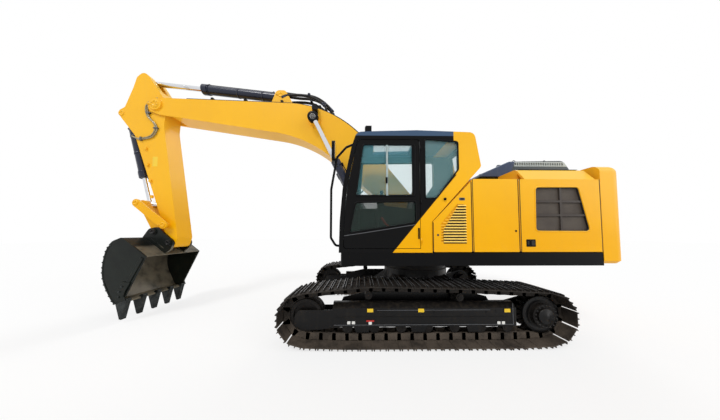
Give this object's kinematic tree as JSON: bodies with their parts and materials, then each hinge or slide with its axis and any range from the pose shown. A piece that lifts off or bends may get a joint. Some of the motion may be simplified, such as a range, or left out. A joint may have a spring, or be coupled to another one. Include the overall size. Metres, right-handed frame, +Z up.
{
  "type": "crawler excavator",
  "caption": "Tracked digging machine with a slewing upper house, hollow cab, cranked boom, arm and toothed bucket on hydraulic cylinders.",
  "frame": {"origin": "middle of the standing machine's box, on the ground", "axes": "+X forward towards the bucket, +Y to the cab side, +Z up"},
  "size_m": [9.0684, 2.98, 4.8739],
  "materials": {
    "yellow": "painted",
    "black": "painted",
    "navy": "painted",
    "track": "dusty",
    "chrome": "polished",
    "glass": "tinted",
    "seat": "woven",
    "plastic": "moulded",
    "mirror": "polished",
    "steel": "worn",
    "hose": "smooth"
  },
  "bodies": {
    "undercarriage": {"track_left": "track", "track_right": "track", "track_frame_left": "black", "track_frame_right": "black", "idlers": "track", "sprockets": "track", "lower_rollers": "track", "carrier_rollers": "track", "car_body": "black", "swing_ring": "steel"},
    "upper": {"platform": "black", "counterweight": "yellow", "engine_block": "steel", "radiator": "steel", "valve_block": "steel", "machinery_house": "yellow", "pump_house": "yellow", "house_roof": "yellow", "fuel_tank": "yellow", "hydraulic_tank": "yellow", "tool_box": "yellow", "exhaust_pipe": "navy", "handrails": "black", "mirrors": "plastic", "work_lamps": "plastic", "cab_frame": "navy", "cab_glass": "glass", "seat": "seat", "consoles": "plastic"},
    "cab_door": {"cab_door": "navy", "cab_door_glass": "glass"},
    "louvre_door": {"louvre_door": "yellow"},
    "battery_door": {"battery_door": "yellow"},
    "radiator_door": {"radiator_door": "yellow", "radiator_grille": "black"},
    "pump_door": {"pump_door": "yellow"},
    "hood": {"hood": "navy"},
    "boom": {"boom_beam": "yellow", "boom_pipes": "black", "boom_lamp": "plastic"},
    "arm": {"arm_beam": "yellow"},
    "bucket": {"bucket_shell": "steel", "bucket_teeth": "steel"},
    "rocker": {"bucket_rocker": "navy"},
    "link": {"bucket_link": "navy"},
    "boom_barrels": {"boom_cylinder_barrels": "navy"},
    "boom_rods": {"boom_cylinder_rods": "chrome"},
    "arm_barrel": {"arm_cylinder_barrel": "navy"},
    "arm_rod": {"arm_cylinder_rod": "chrome"},
    "bucket_barrel": {"bucket_cylinder_barrel": "navy"},
    "bucket_rod": {"bucket_cylinder_rod": "chrome"}
  },
  "joints": [
    {"name": "swing", "type": "hinge", "parent": "undercarriage", "child": "upper", "pos_m": [-1.54, 0, 1], "axis": [0, 0, 1], "continuous": true},
    {"name": "boom_lift", "type": "hinge", "parent": "upper", "child": "boom", "pos_m": [-1.48, 0, 1.9], "axis": [0, -1, 0], "range_deg": [-60, 38]},
    {"name": "arm_pivot", "type": "hinge", "parent": "boom", "child": "arm", "pos_m": [3.73, 0, 4.18], "axis": [0, -1, 0], "range_deg": [-25, 92]},
    {"name": "bucket_pivot", "type": "hinge", "parent": "arm", "child": "bucket", "pos_m": [3.35, 0, 1.385], "axis": [0, -1, 0], "range_deg": [-150, 12]},
    {"name": "rocker_pivot", "type": "hinge", "parent": "arm", "child": "rocker", "pos_m": [3.425, 0, 1.735], "axis": [0, -1, 0], "range_deg": [-100, 12]},
    {"name": "link_pivot", "type": "hinge", "parent": "bucket", "child": "link", "pos_m": [3.65, 0, 1.6], "axis": [0, -1, 0], "range_deg": [-12, 112]},
    {"name": "boom_barrel_pivot", "type": "hinge", "parent": "upper", "child": "boom_barrels", "pos_m": [-0.734, 0, 1.4], "axis": [0, -1, 0], "range_deg": [-70, 45]},
    {"name": "boom_rod_slide", "type": "slide", "parent": "boom_barrels", "child": "boom_rods", "axis": [0.4546, 0, 0.8907], "range_m": [-1.1, 0.7]},
    {"name": "arm_barrel_pivot", "type": "hinge", "parent": "boom", "child": "arm_barrel", "pos_m": [1.25, 0, 4.47], "axis": [0, -1, 0], "range_deg": [-10, 10]},
    {"name": "arm_rod_slide", "type": "slide", "parent": "arm_barrel", "child": "arm_rod", "axis": [0.994, 0, 0.1097], "range_m": [-1.1, 0.4]},
    {"name": "bucket_barrel_pivot", "type": "hinge", "parent": "arm", "child": "bucket_barrel", "pos_m": [4.46, 0, 4.02], "axis": [0, -1, 0], "range_deg": [-10, 10]},
    {"name": "bucket_rod_slide", "type": "slide", "parent": "bucket_barrel", "child": "bucket_rod", "axis": [-0.2603, 0, -0.9655], "range_m": [-0.15, 1.1]},
    {"name": "cab_door_hinge", "type": "hinge", "parent": "upper", "child": "cab_door", "pos_m": [-1.29, 1.375, 2.1], "axis": [0, 0, 1], "range_deg": [0, 160]},
    {"name": "louvre_door_hinge", "type": "hinge", "parent": "upper", "child": "louvre_door", "pos_m": [-2.032, 1.372, 1.8], "axis": [0, 0, -1], "range_deg": [-110, 0]},
    {"name": "battery_door_hinge", "type": "hinge", "parent": "upper", "child": "battery_door", "pos_m": [-2.722, 1.372, 1.8], "axis": [0, 0, -1], "range_deg": [-110, 0]},
    {"name": "radiator_door_hinge", "type": "hinge", "parent": "upper", "child": "radiator_door", "pos_m": [-3.927, 1.372, 1.8], "axis": [0, 0, -1], "range_deg": [-110, 0]},
    {"name": "pump_door_hinge", "type": "hinge", "parent": "upper", "child": "pump_door", "pos_m": [-3.927, -1.372, 1.8], "axis": [0, 0, 1], "range_deg": [-110, 0]},
    {"name": "hood_hinge", "type": "hinge", "parent": "upper", "child": "hood", "pos_m": [-2.525, 0, 2.575], "axis": [0, 1, 0], "range_deg": [0, 60]}
  ],
  "couplings": [
    {"joint": "rocker_pivot", "follows": "bucket_pivot", "ratio": 0.62},
    {"joint": "link_pivot", "follows": "bucket_pivot", "ratio": -0.7},
    {"joint": "boom_barrel_pivot", "follows": "boom_lift", "ratio": 1.02},
    {"joint": "boom_rod_slide", "follows": "boom_lift", "m_per_rad": 0.8228},
    {"joint": "arm_barrel_pivot", "follows": "arm_pivot", "ratio": -0.02},
    {"joint": "arm_rod_slide", "follows": "arm_pivot", "m_per_rad": -0.6273},
    {"joint": "bucket_barrel_pivot", "follows": "bucket_pivot", "ratio": -0.04},
    {"joint": "bucket_rod_slide", "follows": "bucket_pivot", "m_per_rad": -0.378}
  ]
}
